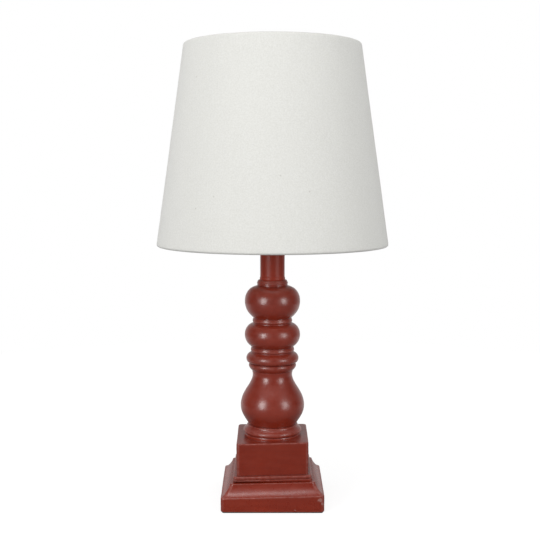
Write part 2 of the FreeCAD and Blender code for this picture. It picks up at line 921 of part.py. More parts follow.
def spider_frame(radius):
    """The spider's arms: flat over the washer's level, then bent up to the top ring."""
    r, z = rim_centre(True)
    level = spider_z + spider_washer / 2
    start = vec(spider_washer_r - 2 * spider_wire_r, 0, level)
    corner = vec(spider_bend_at, 0, level)
    end = vec(r, 0, z)
    slope = math.atan2(z - level, r - spider_bend_at)
    trim = spider_bend_r * math.tan(slope / 2)
    leave = corner + vec(trim * math.cos(slope), 0, trim * math.sin(slope))
    middle = vec(corner.x - trim + spider_bend_r * math.sin(slope / 2), 0,
                 level + spider_bend_r * (1 - math.cos(slope / 2)))
    enter = corner - vec(trim, 0, 0)
    path = Part.Wire([
        Part.LineSegment(start, enter).toShape(),
        Part.Arc(enter, middle, leave).toShape(),
        Part.LineSegment(leave, end).toShape(),
    ])
    arm = rod(path, radius)
    arms = []
    for k in range(spider_arms):
        copy = arm.copy()
        copy.rotate(centre, up, 90 + 360 / spider_arms * k)
        arms.append(copy)
    return arms[0].fuse(arms[1:])


def shade_spider():
    washer = disc(spider_washer_r, spider_z, spider_washer)
    frame = spider_frame(spider_wire_r).fuse(washer)
    room = spider_wire_r + spider_washer
    hole = disc(stud_thread_r + slip_gap, spider_z - room, 2 * room)
    return frame.cut([hole, rim_ring(True)])


def finial():
    bore_r = stud_thread_r + stud_run
    bore_top = stud_seat + stud_flange + stud_thread_height + finial_bore_clearance
    neck_z = finial_z + finial_base
    ball_foot = neck_z + finial_neck
    ball_c = ball_foot + math.sqrt(finial_ball_r ** 2 - finial_neck_r ** 2)
    button_z = ball_c + math.sqrt(finial_ball_r ** 2 - finial_button_r ** 2)
    shoulder = finial_base_r - finial_base / 2
    return turned(
        (bore_r, finial_z),
        (finial_base_r, finial_z),
        (finial_base_r, finial_z + finial_base / 2),
        (shoulder, neck_z),
        ((finial_neck_r - finial_neck_cove, neck_z + finial_neck / 2), (finial_neck_r, ball_foot)),
        ((finial_ball_r, ball_c), (finial_button_r, button_z)),
        dome(finial_button_r, button_z, finial_button),
        (0, bore_top),
        (bore_r, bore_top),
    )


# ---- write every node
os.makedirs("parts", exist_ok=True)
save("felt_pad", felt_pad())
save("base_slab", base_slab())
save("cord_bushing", cord_bushing())
save("plinth_block", plinth_block())
save("turned_column", turned_column())
save("neck_tube", neck_tube())
save("neck_cap", neck_cap())
save("lamp_pipe", lamp_pipe())
save("pipe_washer", pipe_washer())
save("lock_washer", lock_washer())
save("pipe_nut", pipe_nut())
save("check_nut", check_nut())
save("harp_saddle", harp_saddle())
save("socket_cap", socket_cap())
save("cap_screw", cap_screw())
save("socket_shell", socket_shell())
save("shell_liner", shell_liner())
save("socket_core", socket_core())
save("terminal_screw_hot", terminal_screw(1))
save("terminal_screw_neutral", terminal_screw(-1))
save("screw_shell", screw_shell())
save("centre_contact", centre_contact())
save("switch_spindle", switch_spindle())
save("switch_knob", switch_knob())
save("bulb_tip", bulb_tip())
save("bulb_insulator", bulb_insulator())
save("bulb_cap", bulb_cap())
save("bulb_glass", bulb_glass())
save("harp_wire", harp_wire())
save("harp_sleeve_left", harp_sleeve(-1))
save("harp_sleeve_right", harp_sleeve(1))
save("harp_stud", harp_stud())
save("shade_cover", shade_cover())
save("shade_liner", shade_liner())
save("shade_top_ring", rim_ring(True))
save("shade_bottom_ring", rim_ring(False))
save("shade_spider", shade_spider())
save("finial", finial())

print(f"column top {column_top:.1f}  neck top {neck_top:.1f}  holder top {holder_top:.1f}")
print(f"bulb {bulb_z:.2f} to {bulb_z + bulb_length:.2f}  harp under side {harp_top:.2f}")
print(f"shade {shade_z:.2f} to {shade_top:.2f}")
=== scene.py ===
# %% [markdown]
# A candlestick table lamp, dressed for its portrait. The construction model gives every piece its place
# and size; this lesson gives the pieces their finish, and makes the turned column, the moulded foot and
# the cloth shade again as finely sampled surfaces. All lengths are metres, Z is up, and the lamp stands
# on Z = 0 with its front towards -Y.

# %% Load the frame
import math

import bpy
import numpy as np
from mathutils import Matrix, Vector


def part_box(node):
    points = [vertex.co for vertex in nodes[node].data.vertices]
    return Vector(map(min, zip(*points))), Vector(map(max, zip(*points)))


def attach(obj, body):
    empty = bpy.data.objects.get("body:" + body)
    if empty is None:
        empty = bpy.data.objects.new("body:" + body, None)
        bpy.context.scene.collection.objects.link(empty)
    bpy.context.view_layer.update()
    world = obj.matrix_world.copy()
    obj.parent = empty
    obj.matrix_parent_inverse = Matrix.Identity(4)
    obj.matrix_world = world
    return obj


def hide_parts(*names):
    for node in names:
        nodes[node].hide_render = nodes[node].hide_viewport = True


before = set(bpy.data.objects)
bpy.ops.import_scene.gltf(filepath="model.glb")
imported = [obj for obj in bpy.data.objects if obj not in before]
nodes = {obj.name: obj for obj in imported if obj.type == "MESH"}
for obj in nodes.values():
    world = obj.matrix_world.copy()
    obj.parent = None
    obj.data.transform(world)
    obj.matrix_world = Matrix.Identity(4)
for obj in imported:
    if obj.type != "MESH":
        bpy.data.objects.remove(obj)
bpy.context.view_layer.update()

MM = 0.001

# %% [markdown]
# The camera comes first. The picture was taken with a fairly long lens, from a little above the middle
# of the lamp, looking slightly down: the shade's lower rim sags in the picture and its upper rim arches,
# and the tops of the block and of the foot can just be seen. The lens is given by its focal length in
# picture pixels.

# %% Camera
picture_side = 540
focal_pixels = 950
sensor = 36.0
camera_distance = 1.0433
camera_height = 0.3636
camera_aside = -0.0027
look_down = 0.1019

lens = bpy.data.cameras.new("camera")
lens.sensor_width = sensor
lens.lens = focal_pixels * sensor / picture_side
camera = bpy.data.objects.new("camera", lens)
camera.location = (camera_aside, -camera_distance, camera_height)
camera.rotation_euler = (math.pi / 2 - look_down, 0, 0)
bpy.context.scene.collection.objects.link(camera)
bpy.context.scene.camera = camera
print("lens", round(lens.lens, 1), "mm")

# %% [markdown]
# The room is a photographer's white cove: a round white table under the lamp and plain white all round.
# Every material below is a tree of shading nodes, and these helpers add nodes to a tree.

# %% Helpers for shading nodes
def add(tree, kind, inputs=None, **settings):
    """A new node with its settings, its inputs linked or filled in by name or number."""
    made = tree.nodes.new(kind)
    for key, value in settings.items():
        setattr(made, key, value)
    for key, value in (inputs or {}).items():
        socket = made.inputs[key]
        if isinstance(value, bpy.types.NodeSocket):
            tree.links.new(value, socket)
        else:
            socket.default_value = value
    return made


def maths(tree, operation, a, b=0.0, clamp=False):
    """One sum, product or the like of two values; clamp keeps it between 0 and 1."""
    return add(tree, "ShaderNodeMath", {0: a, 1: b}, operation=operation, use_clamp=clamp).outputs[0]


def spread(tree, value, low, high, start=0.3, end=0.7):
    """A value from start to end taken over to low to high, and kept between them."""
    return add(tree, "ShaderNodeMapRange", {"Value": value, "From Min": start, "From Max": end,
                                            "To Min": low, "To Max": high}).outputs["Result"]


def seen_or_mirrored(tree):
    """First a value that is 1 for rays from the camera, in reflections and through glass, and 0 for rays
    that carry light; then one that is 1 for rays from the camera alone."""
    path = add(tree, "ShaderNodeLightPath")
    by_camera = path.outputs["Is Camera Ray"]
    seen = maths(tree, "ADD", by_camera, path.outputs["Is Glossy Ray"])
    return maths(tree, "ADD", seen, path.outputs["Is Transmission Ray"], clamp=True), by_camera


# %% [markdown]
# The room gives an even light. What the camera sees of it is pure white, and what the glossy paint
# mirrors of it is a third thing: dark in front, pale at the back, dimmer higher up, and a pale ceiling.
# So the paint has a pale outline and a deep middle.

# %% White surroundings
room_light = 0.66
mirror_front = 0.02     # mirrored level in front and at the sides
mirror_back = 0.74      # and straight behind the lamp
mirror_fall = 0.72      # its share that is left higher up
mirror_top = 0.6        # level of the ceiling

world = bpy.data.worlds.new("white_cove")
bpy.context.scene.world = world
world.use_nodes = True
tree = world.node_tree
tree.nodes.clear()
seen, by_camera = seen_or_mirrored(tree)
way = add(tree, "ShaderNodeTexCoord").outputs["Generated"]
way = add(tree, "ShaderNodeSeparateXYZ", {0: way})
mirrored = add(tree, "ShaderNodeMapRange", {"Value": way.outputs["Y"], "From Min": 0.10, "From Max": 1.0,
                                            "To Min": mirror_front, "To Max": mirror_back},
               interpolation_type="SMOOTHSTEP").outputs["Result"]
ceiling = spread(tree, way.outputs["Z"], 0.0, mirror_top, 0.60, 0.82)
higher_up = spread(tree, way.outputs["Z"], 1.0, mirror_fall, 0.12, 0.30)
mirrored = maths(tree, "MULTIPLY", mirrored, higher_up)
shown = maths(tree, "MAXIMUM", maths(tree, "MAXIMUM", mirrored, ceiling), by_camera)
level = add(tree, "ShaderNodeMix", {"Factor": seen, "A": room_light, "B": shown},
            data_type="FLOAT").outputs["Result"]
sky = add(tree, "ShaderNodeBackground", {"Color": (1, 1, 1, 1), "Strength": level})
add(tree, "ShaderNodeOutputWorld", {"Surface": sky.outputs[0]})
print("white surroundings ready, light", room_light)


# %% [markdown]
# The table is one flat disc. It looks white, and yet it sends up only the light of a grey table.

# %% Round white table
table_r = 1.0
table_colour = 0.18     # for rays that carry light
table_glow = 0.82       # for the camera: its own light
table_shade = 0.26      # and the part that takes the lamp's shadow


def disc_rim(radius, steps):
    """Points round a circle in the plane Z = 0."""
    angle = np.linspace(0, 2 * np.pi, steps, endpoint=False)
    return [(radius * math.cos(a), radius * math.sin(a), 0.0) for a in angle]


def table_material():
    """White that glows a little for the camera and, behind the lamp, in reflections, so that it meets the
    white background without an edge, and still takes the lamp's soft shadow. The light that it throws
    back up is that of a greyer table, which keeps the underside of the shade and of the balls dark. From
    below it is clear, so that the lamp can be looked at from there too."""
    made = bpy.data.materials.new("white_table")
    made.use_nodes = True
    tree = made.node_tree
    tree.nodes.clear()
    path = add(tree, "ShaderNodeLightPath")
    seen = maths(tree, "ADD", path.outputs["Is Camera Ray"], path.outputs["Is Transmission Ray"])
    place = add(tree, "ShaderNodeTexCoord").outputs["Object"]
    behind = add(tree, "ShaderNodeSeparateXYZ", {0: place}).outputs["Y"]
    behind = spread(tree, behind, 0.0, 0.8, 0.02, 0.40)
    mirrored = maths(tree, "MULTIPLY", path.outputs["Is Glossy Ray"], behind)
    seen = maths(tree, "ADD", seen, mirrored, clamp=True)
    grain = add(tree, "ShaderNodeTexNoise", {"Vector": place, "Scale": 90.0, "Detail": 3.0})
    tone = spread(tree, grain.outputs["Fac"], 0.985, 1.0, 0.0, 1.0)
    plain = add(tree, "ShaderNodeBsdfDiffuse", {"Color": (table_colour,) * 3 + (1,)})
    dim = maths(tree, "MULTIPLY", tone, table_shade)
    veil = add(tree, "ShaderNodeCombineColor", {0: dim, 1: dim, 2: dim}).outputs[0]
    shadowed = add(tree, "ShaderNodeBsdfDiffuse", {"Color": veil})
    glow = add(tree, "ShaderNodeEmission", {"Color": (1, 1, 1, 1), "Strength": table_glow})
    bright = add(tree, "ShaderNodeAddShader", {0: shadowed.outputs[0], 1: glow.outputs[0]})
    both = add(tree, "ShaderNodeMixShader", {0: seen, 1: plain.outputs[0], 2: bright.outputs[0]})
    below = add(tree, "ShaderNodeNewGeometry").outputs["Backfacing"]
    clear = add(tree, "ShaderNodeBsdfTransparent")
    whole = add(tree, "ShaderNodeMixShader", {0: below, 1: both.outputs[0], 2: clear.outputs[0]})
    add(tree, "ShaderNodeOutputMaterial", {"Surface": whole.outputs[0]})
    return made


table_top = bpy.data.meshes.new("table_top")
rim = disc_rim(table_r, 128)
table_top.from_pydata(rim, [], [tuple(range(len(rim)))])
table_top.materials.append(table_material())
table = bpy.data.objects.new("table_top", table_top)
bpy.context.scene.collection.objects.link(table)
print("table top", 2 * table_r, "m across")

# %% [markdown]
# Two tall oval soft boxes stand in front, one on each side, and the left one is stronger. Their
# reflections make the two soft spots on every ball of the column. A wide one hangs flat overhead. A
# fourth hangs high up in front, where the shade hides it from the balls and the vase but not from the
# foot, and gives the hollow moulding its sheen.

# %% Soft lamps
def soft_lamp(name, turn_deg, distance, height, width, tall, watts):
    """An upright oval soft box that faces the lamp from the front, turn_deg to the right of the camera."""
    light = bpy.data.lights.new(name, "AREA")
    light.shape = "ELLIPSE"
    light.size = width
    light.size_y = tall
    light.energy = watts
    made = bpy.data.objects.new(name, light)
    turn = math.radians(turn_deg)
    made.location = (distance * math.sin(turn), -distance * math.cos(turn), height)
    made.rotation_euler = (math.pi / 2, 0, turn)
    made.visible_camera = False
    bpy.context.scene.collection.objects.link(made)
    return made


soft_lamp("left_soft_box", -38, 1.45, 0.50, 0.46, 0.90, 8.7)
soft_lamp("right_soft_box", 48, 1.45, 0.50, 0.46, 0.90, 5.7)
overhead = soft_lamp("overhead_soft_box", 0, 0.0, 1.9, 1.6, 1.6, 2.0)
overhead.rotation_euler = (0, 0, 0)
front_top = soft_lamp("front_top_soft_box", -24, 0.80, 1.75, 1.0, 0.5, 4.4)
front_top.rotation_euler.x = math.radians(28)
print("4 soft lamps ready")

# %% [markdown]
# Every finish is worked out by nodes from the place of a point on the piece. A finish is never one flat
# colour: it has a slow drift, a fine grain, a roughness that wanders and a shallow relief.

# %% Helpers for finishes
def linear(*levels):
    """Colour as seen, 0 to 255, to the linear light that the shader wants."""
    share = np.array(levels, float) / 255
    value = np.where(share <= 0.04045, share / 12.92, ((share + 0.055) / 1.055) ** 2.4)
    return tuple(value) + (1.0,)


def finish(name, **fixed):
    """A new material, its node tree, its surface shader, and the socket with the place on the piece."""
    made = bpy.data.materials.new(name)
    made.use_nodes = True
    tree = made.node_tree
    shader = tree.nodes["Principled BSDF"]
    for key, value in fixed.items():
        shader.inputs[key.replace("_", " ")].default_value = value
    place = add(tree, "ShaderNodeTexCoord").outputs["Object"]
    return made, tree, shader, place


def noise(tree, place, scale, detail=2.0, stretch=None):
    """Clouds of about 1 / scale metres; a stretch under 1 draws them out along that axis."""
    if stretch:
        place = add(tree, "ShaderNodeMapping", {"Vector": place, "Scale": stretch}).outputs[0]
    made = add(tree, "ShaderNodeTexNoise", {"Vector": place, "Scale": scale, "Detail": detail})
    return made.outputs["Fac"]


def blend(tree, share, first, second):
    """Two colours mixed; share is that of the second. Inputs 6 and 7 and output 2 are the colour ones."""
    return add(tree, "ShaderNodeMix", {"Factor": share, 6: first, 7: second}, data_type="RGBA").outputs[2]


def relief(tree, shader, height, depth, strength=1.0):
    """A shallow relief in the shading; a height of 1 stands out by depth, in metres."""
    bump = add(tree, "ShaderNodeBump", {"Height": height, "Strength": strength, "Distance": depth})
    tree.links.new(bump.outputs[0], shader.inputs["Normal"])


# %% [markdown]
# The paint is a satin brick red, brushed or sprayed rather thickly: corners are rounded by it, grooves get
# a painted shade, and a fine orange-peel grain breaks up the highlights. Along the edges and at the corners
# it is a little rubbed and paler, which also serves as a painted glint on those edges, and the foot has a
# few pale knocks where it has been handled. Rubbing and glint are steered by a number stored on the
# surface, high on sharp outward edges, and the painted groove shade by another, high in hollows.

# %% Paint
paint_colour = linear(130, 38, 17)
paint_deep = linear(116, 31, 13)
paint_cloud = linear(140, 46, 24)
# painted shade for the grooves, then the pale colour of rubbed edges, which is also a painted glint
painted_groove_shade = linear(62, 14, 10)
rubbed_and_glint_colour = linear(178, 122, 114)
paint_bare = linear(168, 128, 122)
# share of painted shade in the deepest groove
groove_shade_share = 0.5      # how far the deepest groove goes over to its darker colour
rub_and_glint_share = 0.38
rubbed_rough = 0.12     # a rubbed place is this much rougher
knock_share = 0.6
paint_relief = 0.00022
# place and size of the pale knocks on the foot: (x, y, z) and radius
knocks = [((0.0508, -0.0558, 0.0148), 0.0026), ((0.0532, -0.0558, 0.0104), 0.0021),
          ((0.0247, -0.0558, 0.0036), 0.0008), ((-0.0080, -0.0558, 0.0050), 0.0006),
          ((0.0187, -0.0510, 0.0235), 0.0007), ((-0.0420, -0.0510, 0.0245), 0.0009)]


def knock_mask(tree, place):
    """1 inside any of the knocks, their outlines broken up by noise."""
    ragged = add(tree, "ShaderNodeTexNoise", {"Vector": place, "Scale": 420.0, "Detail": 3.0})
    shift = add(tree, "ShaderNodeVectorMath", {0: ragged.outputs["Color"], 1: (0.5, 0.5, 0.5)},
                operation="SUBTRACT").outputs[0]
    shift = add(tree, "ShaderNodeVectorMath", {0: shift, 3: 0.006}, operation="SCALE").outputs[0]
    moved = add(tree, "ShaderNodeVectorMath", {0: place, 1: shift}, operation="ADD").outputs[0]
    total = None
    for spot, radius in knocks:
        gap = add(tree, "ShaderNodeVectorMath", {0: moved, 1: spot}, operation="DISTANCE").outputs["Value"]
        inside = spread(tree, gap, 1.0, 0.0, radius * 0.6, radius)
        total = inside if total is None else maths(tree, "MAXIMUM", total, inside)
    return total


def paint(name, knocked=False, turned=False, brushed=False, shine=0.64, satin=0.0, painted_light_factor=1.0):
    """Brick red. A turned piece has fine rings in its relief; a brushed one has level strokes and half the
    relief; satin adds roughness; the last argument multiplies the colour, a painted light that makes lit
    and shaded copies of the one paint."""
    made, tree, shader, place = finish(name, Specular_IOR_Level=shine)
    drift = noise(tree, place, 22.0, 3.0)
    cloud = noise(tree, place, 140.0, 3.0)
    grain = noise(tree, place, 1500.0, 2.0)
    base, deep, pale = ([part * painted_light_factor for part in tone[:3]] + [1.0]
                        for tone in (paint_colour, paint_deep, paint_cloud))
    colour = blend(tree, spread(tree, drift, 0.0, 1.0), base, deep)
    colour = blend(tree, spread(tree, cloud, 0.0, 0.3), colour, pale)
    if brushed:
        strokes = noise(tree, place, 240.0, 2.0, (0.10, 0.10, 1))
        colour = blend(tree, spread(tree, strokes, 0.0, 0.45, 0.4, 0.7), colour, deep)
    # painted shade in the grooves, steered by how deep in a hollow a point lies
    hollow = add(tree, "ShaderNodeAttribute", attribute_name="hollow").outputs["Fac"]
    colour = blend(tree, maths(tree, "MULTIPLY", hollow, groove_shade_share), colour, painted_groove_shade)
    # rubbed edges, paler in patches: partly real wear, partly a painted glint on the edges
    edge = add(tree, "ShaderNodeAttribute", attribute_name="rubbing_and_glint").outputs["Fac"]
    patches = spread(tree, noise(tree, place, 260.0, 4.0), 0.1, 1.0, 0.35, 0.65)
    patchy = maths(tree, "MULTIPLY", edge, patches)
    colour = blend(tree, maths(tree, "MULTIPLY", patchy, rub_and_glint_share), colour, rubbed_and_glint_colour)
    if knocked:
        bare = maths(tree, "MULTIPLY", knock_mask(tree, place), knock_share)
        colour = blend(tree, bare, colour, paint_bare)
    tree.links.new(colour, shader.inputs["Base Color"])
    rough = maths(tree, "ADD", spread(tree, cloud, 0.28 + satin, 0.35 + satin),
                  maths(tree, "MULTIPLY", patchy, rubbed_rough))
    tree.links.new(rough, shader.inputs["Roughness"])
    waves = maths(tree, "ADD", maths(tree, "MULTIPLY", noise(tree, place, 330.0, 2.0), 0.38),
                  maths(tree, "MULTIPLY", noise(tree, place, 760.0, 2.0), 0.13))
    height = maths(tree, "ADD", waves, maths(tree, "MULTIPLY", grain, 0.12))
    if turned:
        rings = noise(tree, place, 1300.0, 2.0, (0.04, 0.04, 1))
        height = maths(tree, "ADD", height, maths(tree, "MULTIPLY", rings, 0.16))
    relief(tree, shader, height, paint_relief / 2 if brushed else paint_relief)
    return made


# The last factor of each coat is painted light: copies of the one paint made lighter or darker to stand in
# for how much light reaches each piece, lightest on the neck in the shade's shadow.
column_paint = paint("red_paint_turned", turned=True, shine=1.0, painted_light_factor=1.14)
block_paint = paint("red_paint_block", brushed=True, painted_light_factor=0.98)
slab_paint = paint("red_paint_knocked", knocked=True, brushed=True, shine=0.80, satin=-0.03, painted_light_factor=1.13)
steel_paint = paint("red_paint_on_steel", shine=0.46, satin=0.1, painted_light_factor=1.46)
print("4 coats of paint ready,", len(knocks), "knocks on the foot")


# %% [markdown]
# The shade is linen glued to a stiff white lining. The cloth was cut flat and rolled into a cone, so its
# threads run straight in the flat cut and not round the cone. The cloth therefore gets the coordinates
# of the flat cut, in metres, and the weave is worked out from them: two sets of threads that pass over
# and under each other, with here and there a thicker stretch of thread, and a few dark specks of flax.
# The cloth rolled under the rims gets a painted shade.

# %% Linen
thread = 0.00062        # from one thread to the next
weave_depth = 0.00012
knot_r = 0.0011
knot_share = 0.32
hem_shade_share = 0.8
shade_bottom_r, shade_top_r = 127.0, 95.8     # millimetres
linen_light = linear(228, 228, 225)
linen_shade = linear(221, 221, 216)
linen_gap = linear(192, 191, 184)
# painted shade for the cloth rolled under the rims
painted_hem_shade = linear(196, 195, 190)
knot_colour = linear(158, 152, 140)
# the few dark knots in the yarn: degrees round from the front, rightwards, and height in millimetres
knots = [(-49.3, 460.7), (17.7, 345.5), (3.7, 361.0), (-29.4, 340.4), (-39.7, 328.2), (84.0, 405.0),
         (112.0, 318.0), (-101.0, 433.0), (141.0, 372.0), (-128.0, 352.0), (-154.0, 471.0), (166.0, 446.0)]


def on_shade(around, up):
    """Place on the cone's face, in metres, from degrees round from the front and height in millimetres."""
    shade_low, shade_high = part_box("shade_cover")
    share = (up * MM - shade_low.z) / (shade_high.z - shade_low.z)
    radius = (shade_bottom_r + (shade_top_r - shade_bottom_r) * share) * MM
    turn = math.radians(around)
    return (radius * math.sin(turn), -radius * math.cos(turn), up * MM)


def threads(tree, along, across, seed):
    """One set of threads: a rounded ridge for each, thickened and thinned along its length."""
    drawn_out = maths(tree, "MULTIPLY", along, 0.11)
    stretched = add(tree, "ShaderNodeCombineXYZ", {0: drawn_out, 1: across, 2: seed})
    slub = add(tree, "ShaderNodeTexNoise", {"Vector": stretched.outputs[0], "Scale": 620.0, "Detail": 2.0})
    turn = maths(tree, "MULTIPLY", across, 2 * math.pi / thread)
    ridge = maths(tree, "ADD", maths(tree, "MULTIPLY", maths(tree, "SINE", turn), 0.5), 0.5)
    return ridge, slub.outputs["Fac"]


def linen(name):
    """Off-white cloth: the weave in the flat cut's coordinates, then fuzz, slow clouds, knots, and a
    painted shade on the cloth rolled under the rims.
    """
    made, tree, shader, place = finish(name, Roughness=0.88, Specular_IOR_Level=0.22, Sheen_Weight=0.45,
                                       Sheen_Roughness=0.5)
    flat = add(tree, "ShaderNodeUVMap", uv_map="flat_cut").outputs[0]
    axis = add(tree, "ShaderNodeSeparateXYZ", {0: flat})
    x, y = axis.outputs["X"], axis.outputs["Y"]
    warp, warp_slub = threads(tree, y, x, 1.3)
    weft, weft_slub = threads(tree, x, y, 7.9)
    over = maths(tree, "MULTIPLY", maths(tree, "SINE", maths(tree, "MULTIPLY", x, math.pi / thread)),
                 maths(tree, "SINE", maths(tree, "MULTIPLY", y, math.pi / thread)))
    height = maths(tree, "ADD", maths(tree, "MAXIMUM", warp, weft), maths(tree, "MULTIPLY", over, 0.35))
    slub = spread(tree, maths(tree, "ADD", warp_slub, weft_slub), 0.8, 1.2, 0.8, 1.2)
    tone = spread(tree, slub, 0.25, 0.75, 0.6, 1.4)
    colour = blend(tree, tone, linen_shade, linen_light)
    gap = spread(tree, height, 0.2, 0.0, 0.1, 0.7)
    colour = blend(tree, gap, colour, linen_gap)
    fuzz = noise(tree, place, 720.0, 2.0)
    colour = blend(tree, spread(tree, fuzz, 0.0, 0.34), colour, linen_gap)
    cloudy = noise(tree, place, 26.0, 3.0)
    colour = blend(tree, spread(tree, cloudy, 0.0, 0.2), colour, linen_shade)
    knot = None
    for around, up in knots:
        away = add(tree, "ShaderNodeVectorMath", {0: place, 1: on_shade(around, up)}, operation="DISTANCE")
        inside = spread(tree, away.outputs["Value"], 1.0, 0.0, knot_r * 0.5, knot_r)
        knot = inside if knot is None else maths(tree, "MAXIMUM", knot, inside)
    colour = blend(tree, maths(tree, "MULTIPLY", knot, knot_share), colour, knot_colour)
    # painted shade on the cloth rolled under the rims and lying inside
    hem_shade = add(tree, "ShaderNodeAttribute", attribute_name="hem_shade").outputs["Fac"]
    colour = blend(tree, maths(tree, "MULTIPLY", hem_shade, hem_shade_share), colour, painted_hem_shade)
    tree.links.new(colour, shader.inputs["Base Color"])
    raised = maths(tree, "ADD", height, maths(tree, "MULTIPLY", slub, 0.3))
    relief(tree, shader, raised, weave_depth, 0.8)
    return made


linen_finish = linen("off_white_linen")
print("linen ready,", len(knots), "knots")


# %% [markdown]
# The pieces under the shade are plain hardware: satin brass for the holder and the harp, zinc-plated
# steel for the pipe and nuts, black moulded plastic, brown fibre, rolled aluminium, and white wire.
# Metals get long faint scratches and clouds of dullness; plastics get a fine moulded grain.

# %% Metals, plastics, felt and glass
def metal(name, colour, dull, roughness, scratch=(1, 1, 14)):
    """Bare metal with clouds of dullness and fine scratches; scratch squeezes them across an axis."""
    made, tree, shader, place = finish(name, Metallic=1.0)
    cloud = noise(tree, place, 90.0, 4.0)
    lines = noise(tree, place, 900.0, 2.0, scratch)
    tree.links.new(blend(tree, spread(tree, cloud, 0.0, 1.0), colour, dull), shader.inputs["Base Color"])
    rough = maths(tree, "ADD", spread(tree, cloud, roughness, roughness + 0.12),
                  maths(tree, "MULTIPLY", lines, 0.06))
    tree.links.new(rough, shader.inputs["Roughness"])
    relief(tree, shader, lines, 0.00003, 0.6)
    return made


def moulded(name, colour, second, roughness, grain=900.0, depth=0.00004):
    """Plastic, fibre or a coat on wire: two near colours in clouds, and a fine grain."""
    made, tree, shader, place = finish(name)
    cloud = noise(tree, place, 120.0, 3.0)
    fine = noise(tree, place, grain, 2.0)
    tree.links.new(blend(tree, spread(tree, cloud, 0.0, 1.0), colour, second), shader.inputs["Base Color"])
    tree.links.new(spread(tree, cloud, roughness - 0.05, roughness + 0.07), shader.inputs["Roughness"])
    relief(tree, shader, fine, depth)
    return made


def felt(name):
    """Short fibres that lie flat, in clumps."""
    made, tree, shader, place = finish(name, Roughness=0.95, Specular_IOR_Level=0.1, Sheen_Weight=0.3)
    fibres = noise(tree, place, 1100.0, 4.0, (1, 1, 0.3))
    clumps = noise(tree, place, 240.0, 3.0)
    tree.links.new(blend(tree, spread(tree, fibres, 0.0, 1.0), linear(18, 18, 19), linear(46, 45, 45)),
                   shader.inputs["Base Color"])
    relief(tree, shader, maths(tree, "ADD", fibres, maths(tree, "MULTIPLY", clumps, 0.5)), 0.0005)
    return made


def white_glass(name):
    """Frosted bulb glass, white inside, so it shows as a soft white with a glossy skin."""
    made, tree, shader, place = finish(name, Specular_IOR_Level=0.5, Coat_Weight=0.25, Coat_Roughness=0.08)
    cloud = noise(tree, place, 60.0, 3.0)
    tree.links.new(blend(tree, spread(tree, cloud, 0.0, 1.0), linear(240, 240, 236), linear(232, 232, 229)),
                   shader.inputs["Base Color"])
    tree.links.new(spread(tree, cloud, 0.22, 0.32), shader.inputs["Roughness"])
    relief(tree, shader, noise(tree, place, 700.0, 2.0), 0.00003)
    return made


brass = metal("satin_brass", linear(214, 178, 112), linear(190, 152, 92), 0.24)
steel = metal("zinc_steel", linear(186, 188, 190), linear(160, 163, 168), 0.30)
aluminium = metal("rolled_aluminium", linear(205, 206, 208), linear(184, 186, 189), 0.26)
black_plastic = moulded("black_phenolic", linear(24, 23, 22), linear(34, 32, 30), 0.38)
fibre_paper = moulded("brown_fibre", linear(150, 122, 86), linear(126, 98, 66), 0.8, 1500.0, 0.00008)
white_wire = moulded("white_wire_coat", linear(226, 225, 220), linear(214, 213, 207), 0.42)
lining_finish = moulded("white_lining", linear(240, 239, 235), linear(231, 230, 225), 0.5, 500.0, 0.00003)
felt_finish = felt("black_felt")
glass_finish = white_glass("frosted_bulb_glass")

node_finish = {
    steel_paint: ["neck_tube", "neck_cap"],
    brass: ["check_nut", "harp_saddle", "socket_cap", "socket_shell", "switch_spindle", "harp_wire",
            "harp_sleeve_left", "harp_sleeve_right", "harp_stud", "finial", "terminal_screw_hot",
            "centre_contact"],
    steel: ["lamp_pipe", "pipe_washer", "lock_washer", "pipe_nut", "cap_screw", "terminal_screw_neutral",
            "bulb_tip"],
    aluminium: ["screw_shell", "bulb_cap"],
    black_plastic: ["cord_bushing", "socket_core", "switch_knob", "bulb_insulator"],
    fibre_paper: ["shell_liner"],
    white_wire: ["shade_top_ring", "shade_bottom_ring", "shade_spider"],
    felt_finish: ["felt_pad"],
    glass_finish: ["bulb_glass"],
}
for made, names in node_finish.items():
    for name in names:
        nodes[name].data.materials.clear()
        nodes[name].data.materials.append(made)
print(sum(len(names) for names in node_finish.values()), "construction pieces finished")


# %% [markdown]
# New pieces are grids of points: rows run along a profile, columns run round the axis. The next helpers
# make profiles from straight lines, arcs through three points and smooth curves, sample them evenly, and
# soften their corners the way a coat of paint does.

# %% Profiles
def three_point_arc(a, m, b, steps):
    """The circle's centre is where the middle lines of a-m and m-b cross; the angle then runs from a
    past m to b."""
    a, m, b = (np.asarray(p, float) for p in (a, m, b))
    chords = 2 * np.array([m - a, b - m])
    middle = np.linalg.solve(chords, np.array([m @ m - a @ a, b @ b - m @ m]))
    angles = np.unwrap([math.atan2(*(p - middle)[::-1]) for p in (a, m, b)])
    angle = np.linspace(angles[0], angles[2], steps)
    radius = np.linalg.norm(a - middle)
    return middle + radius * np.stack([np.cos(angle), np.sin(angle)], axis=-1)


